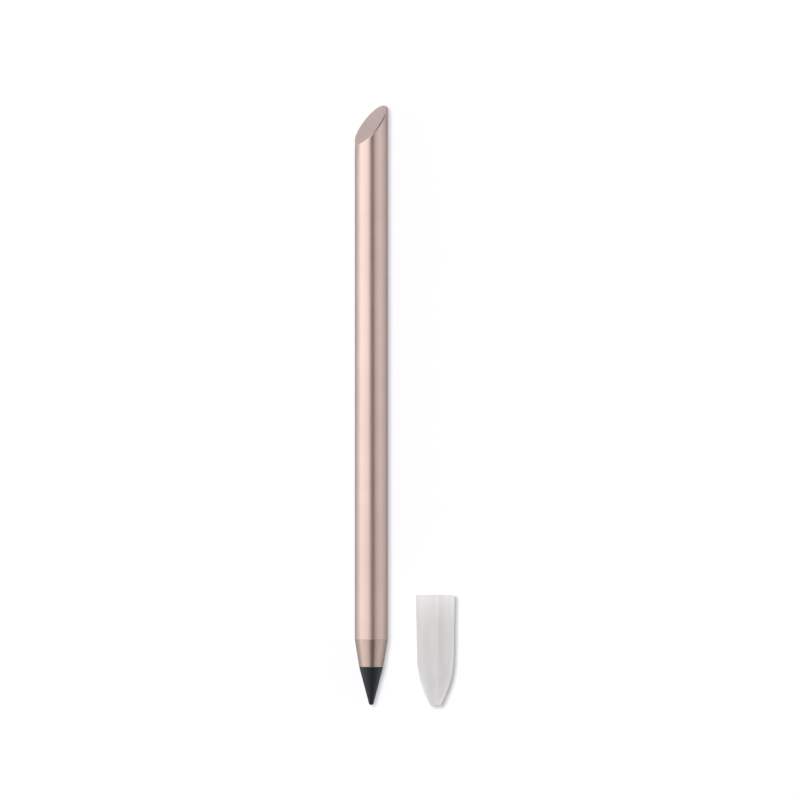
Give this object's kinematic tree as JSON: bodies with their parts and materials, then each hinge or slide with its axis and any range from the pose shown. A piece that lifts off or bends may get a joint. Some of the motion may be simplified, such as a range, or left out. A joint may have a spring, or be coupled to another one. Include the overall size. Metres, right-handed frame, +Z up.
{
  "type": "inkless metal pencil",
  "caption": "Slim round metal pencil with a slanted rear end, a tapered ferrule, a screw-in solid graphite nib and a frosted push-on cap lying beside it.",
  "frame": {"origin": "on the pencil's axis, at the front face of the barrel where the ferrule seats", "axes": "+Y along the pencil towards its slanted end, +X towards the cap that lies beside it, +Z up from the table that both lie on"},
  "size_m": [0.0242, 0.1452, 0.0094],
  "materials": {
    "champagne_aluminium": "satin",
    "brass": "satin",
    "graphite_composite": "satin",
    "frosted_plastic": "satin"
  },
  "bodies": {
    "barrel": {"barrel": "champagne_aluminium", "end_plug": "champagne_aluminium", "threaded_bush": "brass"},
    "ferrule": {"ferrule": "champagne_aluminium"},
    "nib": {"nib": "graphite_composite", "nib_stem": "brass"},
    "cap": {"cap": "frosted_plastic"}
  },
  "joints": [
    {"name": "ferrule_slide", "type": "slide", "parent": "barrel", "child": "ferrule", "axis": [0, -1, 0], "range_m": [0, 0.00784]},
    {"name": "nib_turn", "type": "hinge", "parent": "ferrule", "child": "nib", "pos_m": [0, 0, 0], "axis": [0, -1, 0], "range_deg": [0, 4032]},
    {"name": "cap_slide", "type": "slide", "parent": "barrel", "child": "cap", "axis": [0, -1, 0], "range_m": [0, 0.03]}
  ],
  "couplings": [
    {"joint": "nib_turn", "follows": "ferrule_slide", "rad_per_m": 8976}
  ]
}
